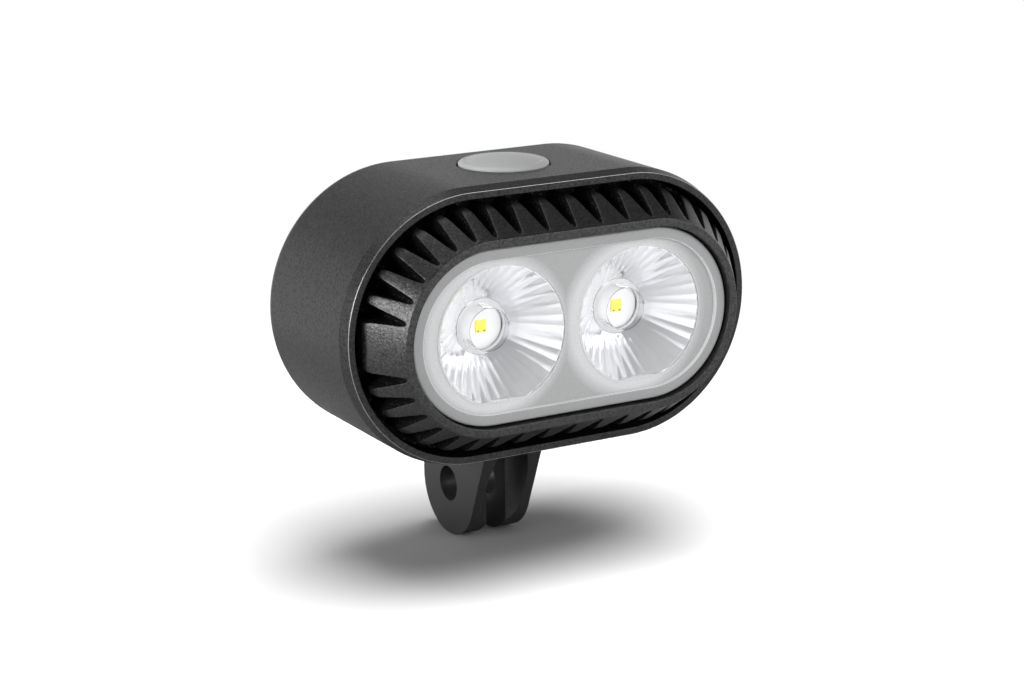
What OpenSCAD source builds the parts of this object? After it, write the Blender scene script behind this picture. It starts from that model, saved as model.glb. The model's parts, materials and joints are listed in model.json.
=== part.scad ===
// Twin-beam bicycle headlight with a two-prong hinge lug, in millimetres.
// The origin is the centre of the lug's bolt hole; +X runs along the hole, the beam points to -Y, +Z is up.
// Pieces are drawn about the lamp's own axis (rim plane at Y = 0) and moved to that origin by lamp().

/* [Outline] */
// Distance from the middle of the lamp to each end centre of the oblong outline
end_centre = 12; // [11:0.5:15]
// Radius of the lens about the end centres
lens_r = 11.6; // [11.2:0.1:13]
// Width of the bezel ring around the lens
bezel_w = 1.1; // [0.9:0.1:2]
// How far the fins stand out past the bezel
fin_reach = 3.3; // [2.8:0.1:4.5]
// Gap between the fin tips and the case's opening
fin_gap = 0.85; // [0.6:0.05:1.4]
// Wall of the case
case_wall = 1.4; // [1.2:0.1:2]

/* [Case] */
// Inset of the bevel around the front rim
rim_bevel = 0.45; // [0.2:0.05:0.8]
// Length of that bevel along the case
rim_bevel_len = 1.8; // [1:0.1:3]
// Radius of the rounded back edge
back_round = 2.3; // [1.5:0.1:3]
// Flat ring left between the rounded back edge and the rear cover
back_flat = 0.4; // [0.2:0.1:1]
// Thickness of the inner ledge that the rear cover seats on
rear_ledge_t = 1; // [0.8:0.1:2]
// Radius of the rear cover's screw bosses
boss_r = 2.4; // [2:0.1:2.6]
// Length of the bosses that hold the heat sink
head_boss_len = 3; // [2:0.5:4]
// Length of the bosses that hold the rear cover
rear_boss_len = 7; // [5:0.5:8]

/* [Heat sink] */
// How far the bezel stands in front of the case's rim
bezel_proud = 6; // [4:0.25:8]
// How far the fin tips sit in front of the case's rim
fin_tip_proud = 0.6; // [0:0.1:1.5]
// Width of a fin at its tip
fin_tip_w = 1.15; // [0.8:0.05:1.6]
// Half width of a slot at its inner end
slot_root_r = 0.4; // [0.25:0.05:0.5]
// Web left between the bezel and a slot
slot_web = 0.25; // [0.1:0.05:0.6]
// Wanted spacing of the fins along the straight runs
fin_pitch = 4; // [3:0.5:6]
// Slots around each quarter of the ends
arc_slots = 7; // [5:1:7]
// Angle between the slots around the ends
arc_step = 12.6; // [11:0.1:13]
// Angle of the first slot of each end quarter, measured from the long axis
arc_start = 91.5; // [89:0.5:93]
// Thickness of the plate that carries the fins
sink_plate_t = 2.4; // [1.8:0.1:3]
// Wall of the cup behind the plate
sink_cup_wall = 1.5; // [1.2:0.1:1.8]
// Depth of the cup behind the plate's back face
sink_spigot = 3; // [2:0.1:3]
// Thickness of the cup's floor under the light board
sink_floor_t = 3.2; // [2.5:0.1:4]
// Room between the plate and the case
sink_clearance = 0.3; // [0.2:0.05:0.5]
// Width of the seal groove around the plate
seal_groove_w = 1.4; // [1:0.1:1.6]
// Depth of that groove
seal_groove_d = 0.9; // [0.6:0.1:1.2]

/* [Lens and optics] */
// How far the lens lies behind the bezel's front
lens_recess = 0.8; // [0.3:0.1:1.5]
// Thickness of the lens at its border
lens_t = 2.4; // [2:0.1:3]
// Width of the raised border of the lens
lens_border = 1.6; // [1:0.1:2.2]
// Height of that border over the window
lens_step = 0.5; // [0.2:0.1:0.8]
// Rounding of the border's outer edge
lens_edge = 0.3; // [0.1:0.1:0.5]
// Room between the lens and its pocket
lens_clearance = 0.2; // [0.1:0.05:0.4]
// Width of the lens's seat in the heat sink
lens_seat_w = 1.4; // [1:0.1:1.5]
// Thickness of the flat gaskets
gasket_t = 0.6; // [0.4:0.1:1]
// Half distance between the two optics
optic_x = 10.35; // [10:0.05:11]
// Outer radius of an optic at its front
optic_r = 9.25; // [8:0.05:9.5]
// Height of an optic from front to back
optic_h = 6.2; // [5.5:0.1:7]
// Thickness of the optic's front flange
optic_flange_t = 0.8; // [0.5:0.1:1.2]
// Radius of the optic at its back
optic_back_r = 4; // [3.6:0.1:4.5]
// Radius of the emitter's well in the optic
optic_well_r = 2.9; // [2.6:0.1:3]
// Depth of that well
optic_well_d = 3; // [2.5:0.1:3.5]
// Height of the flat cut across the bottom of the optic, from its axis
optic_flat = 8.5; // [7.5:0.1:9]
// Outer radius of the optic's collar
holder_r = 7.4; // [7:0.1:8]
// Height of that collar
holder_h = 2.7; // [2:0.1:3]
// Thickness of the light board
led_board_t = 1.6; // [1:0.1:2]
// Side of an emitter's base
led_w = 3.45; // [3:0.05:3.6]
// Thickness of an emitter's base
led_base_t = 0.6; // [0.4:0.05:0.8]
// Radius of an emitter's dome
led_dome_r = 1.5; // [1.2:0.05:1.6]
// Thickness of the heat pad under the light board
pad_t = 0.5; // [0.3:0.1:1]

/* [Button] */
// Radius of the button
cap_r = 6.1; // [5.5:0.1:6.5]
// How far the button's dome stands over the case
cap_rise = 1.2; // [0.9:0.05:1.8]
// Room around the button in the case
cap_clearance = 0.25; // [0.15:0.05:0.4]
// Thickness of the flange that keeps the button in
cap_flange_t = 1; // [0.8:0.1:1.4]
// Width of that flange past the hole
cap_flange_w = 0.5; // [0.4:0.05:0.7]
// Travel of the button
button_travel = 0.6; // [0.4:0.05:0.8]
// Thickness of the floor of the button's frame
frame_t = 0.9; // [0.7:0.1:1.3]
// Thickness of the frame's side walls
frame_wall = 1.2; // [1:0.1:1.6]
// Side of the push switch
switch_w = 6; // [5:0.5:7]
// Height of the push switch's body
switch_h = 3.2; // [2.8:0.1:3.6]
// Radius of the switch's plunger
plunger_r = 1.7; // [1.4:0.1:2]
// How far the plunger stands over the switch's body
plunger_stand = 0.75; // [0.7:0.05:1]
// Thickness of the switch board
switch_board_t = 1; // [0.8:0.1:1.4]

/* [Power] */
// Thickness of the battery, front to back
battery_t = 9; // [7:0.5:12]
// Corner radius of the battery
battery_corner = 2; // [1:0.5:3]
// Thickness of the foam between heat sink and battery
foam_t = 1.2; // [0.8:0.1:2]
// Radius of the wires
wire_r = 0.6; // [0.4:0.05:0.7]
// Thickness of the driver board
driver_t = 1.2; // [0.8:0.1:1.6]
// Width of the charging socket
socket_w = 8.9; // [8.9:0.1:9.4]
// Height of the charging socket
socket_h = 3.2; // [3.2:0.1:3.6]

/* [Rear cover] */
// Thickness of the cover's plate
cover_t = 2; // [1.6:0.1:3]
// Height of the cover's raised middle
bulge_h = 6; // [5.5:0.25:8]
// Radius of the raised middle's edge
bulge_round = 2.2; // [1:0.1:2.5]
// Wall of the raised middle
bulge_wall = 1.8; // [1.4:0.1:2.2]
// Width of the pocket behind the port cover
pocket_w = 16.6; // [15:0.2:17.5]
// Depth of that pocket
pocket_d = 3.2; // [3.1:0.1:3.6]
// Height of the hinge pin over the lamp's axis
hinge_z = 4; // [3.6:0.1:4.2]
// Height of the door below the hinge pin
door_h = 8.9; // [7.5:0.1:9.2]
// Thickness of the door
door_t = 1.8; // [1.4:0.1:2]
// Radius of the hinge pin
pin_r = 0.75; // [0.6:0.05:0.8]
// Radius of the door's knuckle
knuckle_r = 1.35; // [1.25:0.05:1.4]

/* [Mount] */
// Thickness of each prong of the lug
prong_t = 3; // [2.8:0.05:3.2]
// Gap between the prongs
prong_gap = 3.1; // [3:0.05:3.3]
// Radius of the bolt hole
bore_r = 2.5; // [2.5:0.05:2.7]
// Radius of the lug about the bolt hole
lug_r = 7.3; // [7:0.1:7.5]
// Distance from the case's bottom down to the bolt hole
bore_drop = 9.75; // [9.5:0.25:14]
// How far the bolt hole lies in front of the back end of the bracket's foot
bore_inset = 0.2; // [0:0.1:2]
// Width of the bracket's foot
foot_w = 22.4; // [21:0.1:22.5]
// Length of the bracket's foot
foot_len = 13.4; // [12:0.1:14]
// Thickness of the bracket's foot
foot_t = 2.6; // [2.4:0.1:3.5]
// Corner radius of the foot
foot_corner = 3; // [1:0.5:3.5]
// Radius of the round pocket in the gap's mouth, where a driver reaches the middle screw
mouth_r = 3.2; // [3:0.1:3.4]
// How far in front of the bolt hole that pocket lies
mouth_lead = 8.2; // [7.8:0.1:8.8]
// Half distance between the foot's screws
foot_screw_x = 8; // [7.8:0.1:8.2]
// Radius of the threaded inserts
insert_r = 2.1; // [1.9:0.1:2.3]
// Length of the threaded inserts
insert_len = 3.6; // [3:0.1:3.7]

/* [Hidden] */
$fn = 64;

// Clearances
seat_gap = 0.1;
soft_gap = 0.3;
thread_gap = 0.05;
pin_gap = 0.06;
// Where a boss's web starts, as a share of the boss's radius
web_start = 0.65;
eps = 0.05;
over = 1;

// Screw sizes: M2 for the shells, smaller for the boards, M3 for the foot
m2_r = 1;
m2_head_r = 1.8;
m2_head_h = 1.2;
small_r = 0.7;
small_head_r = 1.2;
small_head_h = 0.7;
m3_r = 1.5;
m3_head_r = 2.7;
m3_head_h = 1.5;
drive_share = 0.5;
drive_floor = 0.4;
tip_room = 1;
thread_end = 0.2;
blind_skin = 0.4;
boss_floor = 1;

// Radii about the end centres, from the lens outwards
pocket_r = lens_r + lens_clearance;
cup_r = pocket_r - lens_seat_w;
bezel_r = pocket_r + bezel_w;
spigot_r = cup_r + sink_cup_wall;
tip_r = bezel_r + fin_reach;
opening_r = tip_r + fin_gap;
case_r = opening_r + case_wall;
rim_r = case_r - rim_bevel;
sink_r = opening_r - sink_clearance;
plate_clearance = 0.15;
rebate_r = case_r - back_round - back_flat;
plate_r = rebate_r - plate_clearance;
rear_seat_w = 0.8;
rear_ledge_r = plate_r - rear_seat_w;
screw_edge = 2;
rear_screw_r = plate_r - screw_edge;
bulge_r = rear_screw_r - m2_head_r - soft_gap - seat_gap;
bulge_in_r = bulge_r - bulge_wall;
driver_r = rear_screw_r - boss_r - soft_gap;
gasket_in_w = 1.4;

// Button hole and the flange under it
hole_r = cap_r + cap_clearance;
flange_r = hole_r + cap_flange_w;

// Stations along the lamp, from the bezel backwards
y_bezel = -bezel_proud;
y_lens = y_bezel + lens_recess;
y_lens_back = y_lens + lens_t;
y_seat = y_lens_back + gasket_t;
y_optic = y_lens_back + 2 * seat_gap;
y_optic_back = y_optic + optic_h;
y_led_board = y_optic_back + seat_gap;
y_pad = y_led_board + led_board_t;
y_floor = y_pad + pad_t;
y_sink_back = y_floor + sink_floor_t;
y_sink_plate_back = y_sink_back - sink_spigot;
y_sink_plate = y_sink_plate_back - sink_plate_t;
y_groove = y_sink_plate + (sink_plate_t - seal_groove_w) / 2;
y_button = y_sink_plate_back + flange_r + 2 * seat_gap;
y_head_boss = y_sink_plate_back + seat_gap;
y_head_boss_back = y_head_boss + head_boss_len;
y_foam = y_sink_back + seat_gap;
y_battery = y_foam + foam_t + seat_gap;
y_battery_back = y_battery + battery_t;
y_rear_ledge = max(y_battery_back + small_head_h + 2 * soft_gap + driver_t,
                   y_button + flange_r + 2 * seat_gap + rear_ledge_t);
y_driver_back = y_rear_ledge;
y_driver = y_driver_back - driver_t;
y_cover = y_rear_ledge + gasket_t;
y_case_back = y_cover + cover_t;
y_bulge_back = y_case_back + bulge_h;
y_pocket = y_bulge_back - pocket_d;

// Optic details
flange_lip = 0.5;
flank_power = 0.8;
well_draft = 0.3;
well_crown = 0.7;

// Button stack, from the case's top wall downwards
z_flange = opening_r - eps;
z_flange_bottom = z_flange - cap_flange_t;
z_frame_floor = z_flange_bottom - button_travel - 2 * seat_gap;
z_frame_bottom = z_frame_floor - frame_t;
nib_r = 1.8;
nib_reach = 0.4;
nib_gap = 0.15;
z_nib = z_frame_bottom - nib_reach;
z_plunger = z_nib - nib_gap;
z_switch = z_plunger - plunger_stand;
z_switch_board = z_switch - switch_h;
z_switch_board_bottom = z_switch_board - switch_board_t;
frame_in_x = flange_r + soft_gap;
frame_out_x = frame_in_x + frame_wall;
frame_inset = 1;
frame_half_len = flange_r - frame_inset;
leg_w = 2.6;
leg_half_len = 3;
leg_hole_d = 3;
board_half_len = 3.8;
plunger_lip = 0.4;
plunger_foot_r = plunger_r + plunger_lip;
plunger_foot_h = 0.6;
switch_lid_t = 0.4;
status_led_size = [1, 1.6, 0.7];
status_led_gap = 0.4;
cap_rim_w = 0.75;
cap_dome_h = 0.72;
cap_dome_power = 2.5;
cap_edge = 0.3;
cap_groove_r = cap_r - cap_rim_w;
z_cap_top = case_r + cap_rise;
z_cap_rim = z_cap_top - cap_dome_h;
z_wires = z_switch_board_bottom - soft_gap - wire_r;
wire_x = 2 * wire_r;

// Screw places
rear_screw_angle = 45;
head_screw_angle = 82;
groove_r = sink_r - seal_groove_d;
groove_wall = 0.45;
head_screw_r = groove_r - m2_r - groove_wall;
head_boss_r = head_screw_r - spigot_r - soft_gap;
head_screw_z = head_screw_r * sin(head_screw_angle);
board_screw_drop = 1.4;
board_screw_z = z_wires - board_screw_drop;
leg_screw_x = frame_out_x - leg_w / 2;
post_inset = 4;
post_x = end_centre + post_inset;
post_r = 2.2;
post_hole_d = 4;

// Battery, filling the room between the bosses
battery_half_w = end_centre + rear_screw_r * cos(rear_screw_angle) - boss_r - 2 * soft_gap;
z_battery_top = z_wires - wire_r - soft_gap;
z_battery_bottom = -(head_screw_z - m2_head_r - soft_gap);
battery_h = z_battery_top - z_battery_bottom;
z_battery_mid = (z_battery_top + z_battery_bottom) / 2;
battery_lead_x = post_x - post_r;
foam_inset = 2;
inductor_size = [6, 6, 3];
inductor_at = [-8, 5.5];
inductor_corner = 1;
chip_size = [5, 5, 1];
chip_at = [7.5, 5.5];
chip_corner = 0.3;
socket_shell = 0.35;
socket_back_t = 1;

// Port cover
socket_drop = 5;
z_socket = hinge_z - socket_drop;
hinge_depth = 1.6;
y_hinge = y_bulge_back - hinge_depth;
door_side_gap = 0.3;
door_half_w = pocket_w / 2 - door_side_gap;
hinge_room = 2;
pocket_top = hinge_z + hinge_room;
pocket_bottom = hinge_z - door_h - soft_gap;
pocket_h = pocket_top - pocket_bottom;
z_pocket_mid = (pocket_top + pocket_bottom) / 2;
pocket_wall = 1.6;
door_drop = 0.5;
door_top = hinge_z - door_drop;
door_bottom = hinge_z - door_h;
plug_t = 0.6;
y_door = y_bulge_back - 2 * seat_gap;
pin_len = pocket_w + pocket_wall - 2 * seat_gap;

// Mount
foot_back_gap = 0.2;
y_foot_back = y_case_back - back_round - foot_back_gap;
y_foot = y_foot_back - foot_len;
y_foot_mid = y_foot + foot_len / 2;
y_bore = y_foot_back - bore_inset;
z_bore = -case_r - bore_drop;
z_foot = -case_r - foot_t;
lug_w = 2 * prong_t + prong_gap;
lug_lead = 2.3;
lug_shoulder = 3.2;
mouth = prong_gap / 2;
y_mouth = y_bore - mouth_lead;
foot_screws = [[-foot_screw_x, y_foot_mid], [0, y_mouth], [foot_screw_x, y_foot_mid]];
insert_wall = 1.1;
insert_boss_r = insert_r + insert_wall;
insert_room = 0.2;
z_insert_boss = z_battery_bottom - soft_gap;

// Colours
charcoal = "#4a4a4c";
black = "#222224";
clear = "#d8dade";
silicone = "#b4b6b8";
white = "#f0f0ee";
steel = "#b8bcc0";
green = "#2f6b43";
rubber = "#2a2a2a";
gold = "#c9a45a";
silver = "#c8cccf";
yellow = "#f0c93a";

// Moves the lamp from its own axis to the bolt hole
module lamp() {
  translate([0, -y_bore, -z_bore]) children();
}

// A section drawn as (radius, station), carried once around the oblong
module oblong() {
  for (end = [-1, 1])
    translate([end * end_centre, 0, 0])
      rotate([-90, 0, 0])
        rotate([0, 0, -90 * end])
          rotate_extrude(angle = 180) children();
  for (turn = [-90, 90])
    rotate([0, turn, 0]) linear_extrude(2 * end_centre, center = true) children();
}

// Flat oblong of one radius
module oblong_plan(r) {
  square([2 * end_centre, 2 * r], center = true);
  for (end = [-1, 1]) translate([end * end_centre, 0]) circle(r);
}

// A plan drawn in X and Z, filled from one station to another
module between(y0, y1) {
  translate([0, y1, 0]) rotate([90, 0, 0]) linear_extrude(y1 - y0) children();
}

// A round bar or hole along the lamp
module bar(r, y0, y1) {
  translate([0, y0, 0]) rotate([-90, 0, 0]) cylinder(r = r, h = y1 - y0);
}

// Four places around the end arcs
module at_corners(r, angle) {
  for (x = [-1, 1])
    for (z = [-1, 1])
      translate([x * (end_centre + r * cos(angle)), 0, z * r * sin(angle)]) children();
}

// Two places left and right of the middle
module at_sides(x) {
  for (side = [-1, 1]) translate([side * x, 0, 0]) children();
}

// A copy at each screw of the bracket's foot
module at_foot_screws(z) {
  for (place = foot_screws) translate([place.x, place.y, z]) children();
}

// A screw with its head's seat at the origin, the head towards +Z, and a six-sided drive
module screw(r, len, head_r, head_h) {
  translate([0, 0, -len]) cylinder(r = r, h = len + eps);
  difference() {
    cylinder(r = head_r, h = head_h);
    translate([0, 0, head_h * drive_floor]) cylinder(r = head_r * drive_share, h = head_h, $fn = 6);
  }
}

// A rectangle with round corners
module round_rect(w, h, r) {
  square([w - 2 * r, h], center = true);
  square([w, h - 2 * r], center = true);
  for (x = [-1, 1])
    for (y = [-1, 1]) translate([x * (w / 2 - r), y * (h / 2 - r)]) circle(r);
}

// Quarter arc from the outside to the back, as points
function back_arc(r, y, round, steps = 6) =
  [for (i = [0:steps])
    let (a = 90 * i / steps) [r - round * (1 - cos(a)), y - round * (1 - sin(a))]];

// Touching point on a circle of radius r about c, seen from p, on the side given by turn
function touch(p, c, r, turn) =
  let (d = norm(p - c), a = atan2(p.y - c.y, p.x - c.x) + turn * acos(r / d))
  [c.x + r * cos(a), c.y + r * sin(a)];

module case_shell() {
  oblong() polygon(concat(
    [[rim_r, 0], [case_r, rim_bevel_len]],
    back_arc(case_r, y_case_back, back_round),
    [[rebate_r, y_case_back], [rebate_r, y_rear_ledge], [rear_ledge_r, y_rear_ledge],
     [rear_ledge_r, y_rear_ledge - rear_ledge_t], [opening_r, y_rear_ledge - rear_ledge_t],
     [opening_r, 0]]
  ));
}

// A boss along the lamp with a web that ties it to the case's wall
module wall_boss(r, angle, radius, y0, y1) {
  at_corners(r, angle) bar(radius, y0, y1);
  for (x = [-1, 1])
    for (z = [-1, 1])
      translate([x * end_centre, y0 + seat_gap, 0])
        rotate([0, -z * (x > 0 ? angle : 180 - angle), 0])
          translate([r + web_start * radius, 0, -radius / 2])
            cube([opening_r - r - web_start * radius + case_wall / 2, y1 - y0 - 2 * seat_gap, radius]);
}

module case() {
  color(charcoal) lamp() difference() {
    union() {
      case_shell();
      wall_boss(rear_screw_r, rear_screw_angle, boss_r,
                y_rear_ledge - rear_boss_len, y_rear_ledge - seat_gap);
      wall_boss(head_screw_r, head_screw_angle, head_boss_r, y_head_boss, y_head_boss_back);
      at_foot_screws(-opening_r - case_wall / 2)
        cylinder(r = insert_boss_r, h = opening_r + case_wall / 2 + z_insert_boss);
    }
    at_corners(rear_screw_r, rear_screw_angle)
      bar(m2_r + thread_gap, y_rear_ledge - rear_boss_len + boss_floor, y_rear_ledge + eps);
    at_corners(head_screw_r, head_screw_angle)
      bar(m2_r + thread_gap, y_head_boss - eps, y_head_boss_back + eps);
    at_foot_screws(-case_r - eps) cylinder(r = insert_r + thread_gap, h = insert_len + insert_room);
    translate([0, y_button, opening_r - eps]) cylinder(r = hole_r, h = case_wall + over);
  }
}

module rear_cover() {
  color(charcoal) lamp() difference() {
    union() {
      oblong() polygon(concat(
        [[bulge_in_r, y_cover], [plate_r, y_cover], [plate_r, y_case_back], [bulge_r, y_case_back]],
        back_arc(bulge_r, y_bulge_back, bulge_round),
        [[0, y_bulge_back], [0, y_bulge_back - bulge_wall], [bulge_in_r, y_bulge_back - bulge_wall]]
      ));
      translate([0, 0, z_pocket_mid])
        between(y_pocket - pocket_wall, y_bulge_back - bulge_wall + eps)
          square([pocket_w + 2 * pocket_wall, pocket_h + 2 * pocket_wall], center = true);
      at_sides(post_x) bar(post_r, y_driver_back, y_bulge_back - bulge_wall + eps);
    }
    translate([0, 0, z_pocket_mid])
      between(y_pocket, y_bulge_back + over) square([pocket_w, pocket_h], center = true);
    translate([0, 0, z_socket])
      between(y_pocket - pocket_wall - eps, y_pocket + eps)
        round_rect(socket_w + 2 * soft_gap, socket_h + 2 * soft_gap, socket_h / 2);
    at_corners(rear_screw_r, rear_screw_angle) {
      bar(m2_r + 2 * thread_gap, y_cover - eps, y_case_back + eps);
      bar(m2_head_r + seat_gap, y_case_back - m2_head_h, y_case_back + eps);
    }
    at_sides(post_x) bar(small_r + thread_gap, y_driver_back - eps, y_driver_back + post_hole_d);
    translate([-pocket_w / 2 - pocket_wall / 2, y_hinge, hinge_z])
      rotate([0, 90, 0]) cylinder(r = pin_r + pin_gap / 2, h = pocket_w + pocket_wall);
  }
}

module rear_gasket() {
  color(rubber) lamp() difference() {
    oblong() polygon([
      [rear_screw_r - gasket_in_w, y_rear_ledge], [plate_r - seat_gap, y_rear_ledge],
      [plate_r - seat_gap, y_cover], [rear_screw_r - gasket_in_w, y_cover]
    ]);
    at_corners(rear_screw_r, rear_screw_angle) bar(m2_r + soft_gap, y_rear_ledge - eps, y_cover + eps);
  }
}

module rear_screws() {
  grip = cover_t - m2_head_h + gasket_t;
  thread = rear_boss_len - boss_floor - tip_room;
  color(steel) lamp()
    at_corners(rear_screw_r, rear_screw_angle)
      translate([0, y_case_back - m2_head_h, 0])
        rotate([-90, 0, 0]) screw(m2_r, grip + thread, m2_head_r, m2_head_h);
}

// One slot, drawn along +X, wider at the fin tips
module fin_slot(pitch) {
  root = bezel_r + slot_web + slot_root_r;
  half = (pitch - fin_tip_w) / 2;
  translate([root, 0]) circle(slot_root_r);
  polygon([[root, -slot_root_r], [tip_r, -half], [tip_r + over, -half], [tip_r + over, half],
           [tip_r, half], [root, slot_root_r]]);
}

module fin_plan() {
  straight_fins = round(2 * end_centre / fin_pitch);
  pitch = 2 * end_centre / straight_fins;
  arc_pitch = tip_r * arc_step * PI / 180;
  difference() {
    oblong_plan(tip_r);
    for (i = [1:straight_fins - 1])
      for (side = [-1, 1])
        translate([i * pitch - end_centre, 0]) rotate(side * 90) fin_slot(pitch);
    for (i = [0:arc_slots - 1])
      for (end = [0, 1])
        for (side = [-1, 1])
          mirror([end, 0])
            translate([end_centre, 0]) rotate(side * (arc_start - i * arc_step)) fin_slot(arc_pitch);
  }
}

module heat_sink() {
  color(black) lamp() difference() {
    union() {
      oblong() polygon([
        [0, y_floor], [cup_r, y_floor], [cup_r, y_seat], [pocket_r, y_seat], [pocket_r, y_bezel],
        [bezel_r, y_bezel], [bezel_r, y_sink_plate], [sink_r, y_sink_plate],
        [sink_r, y_sink_plate_back], [spigot_r, y_sink_plate_back], [spigot_r, y_sink_back], [0, y_sink_back]
      ]);
      intersection() {
        difference() {
          between(y_bezel, y_sink_plate + eps) fin_plan();
          between(y_bezel - over, y_sink_plate + over) oblong_plan(bezel_r - eps);
        }
        oblong() polygon([
          [0, y_bezel + eps], [bezel_r, y_bezel + eps], [tip_r, -fin_tip_proud],
          [tip_r, y_sink_plate + eps], [0, y_sink_plate + eps]
        ]);
      }
    }
    oblong() polygon([
      [groove_r, y_groove], [sink_r + over, y_groove],
      [sink_r + over, y_groove + seal_groove_w], [groove_r, y_groove + seal_groove_w]
    ]);
    at_corners(head_screw_r, head_screw_angle)
      bar(m2_r + thread_gap, y_sink_plate + blind_skin, y_sink_plate_back + eps);
    for (z = [-1, 1])
      translate([0, 0, z * board_screw_z]) bar(m2_r + thread_gap, y_floor - eps, y_sink_back - blind_skin);
    at_sides(wire_x)
      translate([0, 0, z_wires]) bar(wire_r + soft_gap, y_floor - eps, y_sink_back + eps);
  }
}

module head_seal() {
  seal_r = (seal_groove_d + sink_clearance) / 2 - eps;
  color(rubber) lamp()
    oblong() translate([opening_r - eps - seal_r, y_groove + seal_groove_w / 2]) circle(seal_r);
}

module head_screws() {
  grip = head_boss_len + seat_gap;
  thread = sink_plate_t - blind_skin - thread_end;
  color(steel) lamp()
    at_corners(head_screw_r, head_screw_angle)
      translate([0, y_head_boss_back, 0])
        rotate([-90, 0, 0]) screw(m2_r, grip + thread, m2_head_r, m2_head_h);
}

module lens() {
  color(clear) lamp() oblong() polygon([
    [0, y_lens + lens_step], [lens_r - lens_border, y_lens + lens_step], [lens_r - lens_border, y_lens],
    [lens_r - lens_edge, y_lens], [lens_r, y_lens + lens_edge], [lens_r, y_lens_back], [0, y_lens_back]
  ]);
}

module lens_gasket() {
  color(rubber) lamp() oblong() polygon([
    [cup_r, y_lens_back], [lens_r, y_lens_back], [lens_r, y_seat], [cup_r, y_seat]
  ]);
}

// Outer radius of the optic's flank at a height above its back
function flank_r(h) =
  optic_back_r + (optic_r - flange_lip - optic_back_r) * pow(h / (optic_h - optic_flange_t), flank_power);

// Collimator lens: a flanged flank that widens to the front, with a well over the emitter
module optic(side) {
  steps = 6;
  flank = [for (i = [0:steps])
    let (h = (optic_h - optic_flange_t) * (1 - i / steps)) [flank_r(h), y_optic_back - h]];
  well = [for (i = [0:steps])
    let (a = 90 * i / steps)
      [(optic_well_r - well_draft) * cos(a), y_optic_back - optic_well_d + well_crown * sin(a)]];
  color(clear) lamp() translate([side * optic_x, 0, 0]) difference() {
    rotate([-90, 0, 0]) rotate_extrude() polygon(concat(
      [[0, y_optic], [optic_r, y_optic], [optic_r, y_optic + optic_flange_t]],
      flank, [[optic_well_r, y_optic_back]], well
    ));
    translate([-optic_r - over, y_optic - over, -optic_flat - optic_r])
      cube([2 * (optic_r + over), optic_h + 2 * over, optic_r]);
  }
}

module left_optic() { optic(-1); }
module right_optic() { optic(1); }

// Collar that centres an optic over its emitter
module optic_holder(side) {
  h = holder_h + seat_gap;
  color(white) lamp() translate([side * optic_x, y_led_board, 0]) rotate([90, 0, 0]) difference() {
    cylinder(r = holder_r, h = h);
    translate([0, 0, -eps])
      cylinder(r1 = optic_back_r + 2 * soft_gap, r2 = flank_r(holder_h) + 2 * soft_gap, h = h + 2 * eps);
  }
}

module left_optic_holder() { optic_holder(-1); }
module right_optic_holder() { optic_holder(1); }

// Plan of the light board, and of the pad under it, with the screw and wire holes
module board_plan(r) {
  difference() {
    oblong_plan(r);
    for (z = [-1, 1]) translate([0, z * board_screw_z]) circle(m2_r + 2 * thread_gap);
    for (x = [-1, 1]) translate([x * wire_x, z_wires]) circle(wire_r + 2 * thread_gap);
  }
}

module led_board() {
  color(white) lamp() between(y_led_board, y_pad) board_plan(cup_r - soft_gap);
}

module thermal_pad() {
  color("#9aa0b4") lamp() between(y_pad, y_floor) board_plan(cup_r - 2 * soft_gap);
}

module led_board_screws() {
  grip = led_board_t + pad_t;
  thread = sink_floor_t - blind_skin - thread_end;
  color(steel) lamp()
    for (z = [-1, 1])
      translate([0, y_led_board, z * board_screw_z])
        rotate([90, 0, 0]) screw(m2_r, grip + thread, m2_head_r, m2_head_h);
}

// Emitter: a ceramic base with a clear dome over the yellow die
module led(side) {
  color(yellow) lamp() translate([side * optic_x, y_led_board, 0]) rotate([90, 0, 0]) {
    translate([-led_w / 2, -led_w / 2, 0]) cube([led_w, led_w, led_base_t]);
    intersection() {
      translate([0, 0, led_base_t - eps]) sphere(led_dome_r);
      translate([-led_w / 2, -led_w / 2, led_base_t - eps]) cube([led_w, led_w, 2 * led_dome_r]);
    }
  }
}

module left_led() { led(-1); }
module right_led() { led(1); }

module led_leads() {
  color("#a33b32") lamp()
    at_sides(wire_x) translate([0, 0, z_wires]) bar(wire_r, y_led_board, y_driver);
}

// Silicone button: a low dome inside a flat rim, a flange that keeps it in and a nib over the switch
module button_cap() {
  steps = 8;
  dome = [for (i = [0:steps])
    let (share = i / steps) [cap_groove_r * share, z_cap_top - cap_dome_h * pow(share, cap_dome_power)]];
  color(silicone) lamp() translate([0, y_button, 0]) rotate_extrude() polygon(concat(dome, [
    [cap_r - cap_edge, z_cap_rim], [cap_r, z_cap_rim - cap_edge],
    [cap_r, z_flange], [flange_r, z_flange], [flange_r, z_flange_bottom],
    [nib_r, z_flange_bottom], [nib_r, z_nib], [0, z_nib]
  ]));
}

module button_frame() {
  color(white) lamp() translate([0, y_button, 0]) {
    difference() {
      translate([-frame_out_x, -frame_half_len, z_frame_bottom])
        cube([2 * frame_out_x, 2 * frame_half_len, frame_t]);
      translate([0, 0, z_frame_bottom - eps]) cylinder(r = nib_r + 2 * soft_gap, h = frame_t + 2 * eps);
    }
    for (side = [0, 1]) mirror([side, 0, 0]) {
      translate([frame_in_x, -frame_half_len, z_frame_floor - eps])
        cube([frame_wall, 2 * frame_half_len, opening_r - z_frame_floor + eps]);
      difference() {
        translate([frame_out_x - leg_w, -leg_half_len, z_switch_board])
          cube([leg_w, 2 * leg_half_len, z_frame_bottom - z_switch_board + eps]);
        translate([leg_screw_x, 0, z_switch_board - eps])
          cylinder(r = small_r + thread_gap, h = leg_hole_d);
      }
    }
  }
}

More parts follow.
